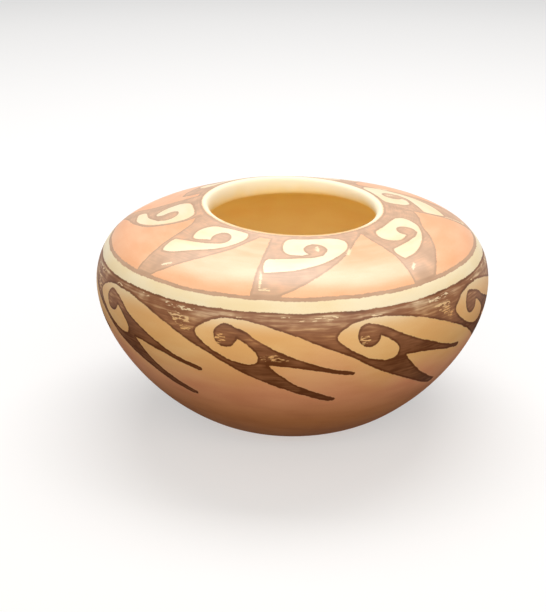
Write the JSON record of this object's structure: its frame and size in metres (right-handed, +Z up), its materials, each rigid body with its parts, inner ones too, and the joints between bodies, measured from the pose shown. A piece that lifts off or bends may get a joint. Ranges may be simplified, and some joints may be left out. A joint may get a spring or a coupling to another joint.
{
  "type": "pottery seed jar",
  "caption": "Low, round-bellied hand-coiled clay jar that closes over a flat shoulder to a small round mouth; holds seeds or dry goods and stands on a flat foot.",
  "frame": {"origin": "centre of the resting ring, on the surface that the jar stands on", "axes": "+Z up along the jar's axis of revolution; -Y is the side that the picture shows"},
  "size_m": [0.154, 0.154, 0.083],
  "materials": {
    "bare_clay": "stone-polished low-fired clay, orange-brown",
    "polished_slip": "buff slip, stone-polished, with brown mineral paint",
    "red_slip": "salmon-red slip panels between painted figures, stone-polished",
    "cream_slip": "cream slip, stone-polished"
  },
  "bodies": {
    "root": {"base_patty": "bare_clay", "lower_coil_1": "polished_slip", "lower_coil_2": "polished_slip", "lower_coil_3": "polished_slip", "lower_coil_4": "polished_slip", "belly_coil": "polished_slip", "shoulder_coil_1": "polished_slip", "shoulder_coil_2": "polished_slip", "top_coil_1": "red_slip", "top_coil_2": "red_slip", "rim_coil": "cream_slip"}
  },
  "joints": []
}
